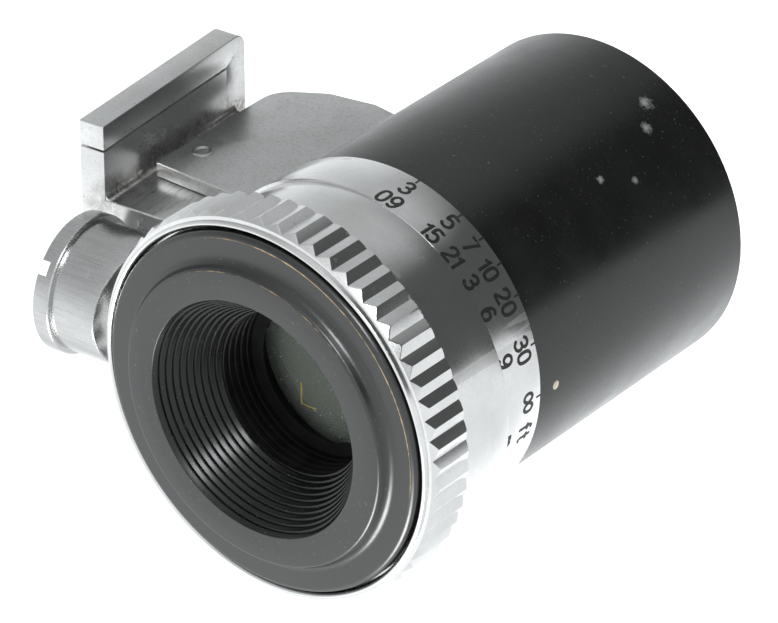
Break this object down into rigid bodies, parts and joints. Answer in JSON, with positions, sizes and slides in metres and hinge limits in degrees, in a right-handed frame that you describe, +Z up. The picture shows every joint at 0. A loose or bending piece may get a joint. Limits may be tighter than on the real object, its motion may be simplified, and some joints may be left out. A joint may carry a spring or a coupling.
{
  "type": "accessory shoe viewfinder",
  "caption": "Short-barrel optical viewfinder with a knurled distance ring, a funnel eyepiece and a split shoe foot on a hinged parallax bracket",
  "frame": {"origin": "centre of the underside of the shoe foot", "axes": "+Y the way the finder looks, +Z up from the shoe, +X to its right"},
  "size_m": [0.0282, 0.0395, 0.0386],
  "materials": {
    "satin_chrome": "satin chrome plate on brass, worn",
    "bright_chrome": "bright satin chrome plate on brass",
    "steel": "turned",
    "spring_brass": "plain",
    "black_lacquer": "satin black lacquer on brass, chipped at the edges",
    "black_anodised": "matt black",
    "glass": "polished"
  },
  "bodies": {
    "foot": {"foot": "satin_chrome", "adjusting_screw": "satin_chrome", "screw_washer": "spring_brass", "cam_follower": "steel", "return_spring": "steel"},
    "barrel": {"barrel_tube": "black_lacquer", "bracket": "satin_chrome", "bracket_screws": "steel", "hinge_pin": "steel", "index_dot": "spring_brass", "ring_stop_pin": "steel", "ring_washer": "black_lacquer", "eyepiece_bezel": "black_lacquer", "eye_lens_cell": "black_anodised", "frame_plate": "glass", "eye_lens": "glass", "eye_lens_retainer": "black_anodised", "spacer_tube": "black_anodised", "objective_lens": "glass", "objective_retainer": "black_anodised"},
    "ring": {"distance_ring": "bright_chrome"}
  },
  "joints": [
    {"name": "barrel_tilt", "type": "hinge", "parent": "foot", "child": "barrel", "pos_m": [0, -0.00072, 0.0048], "axis": [-1, 0, 0], "range_deg": [0, 2.5]},
    {"name": "ring_turn", "type": "hinge", "parent": "barrel", "child": "ring", "pos_m": [0, -0.0205, 0.02325], "axis": [0, 0.9962, 0.0872], "range_deg": [0, 79]}
  ],
  "couplings": [
    {"joint": "barrel_tilt", "follows": "ring_turn", "ratio": 0.031646}
  ]
}
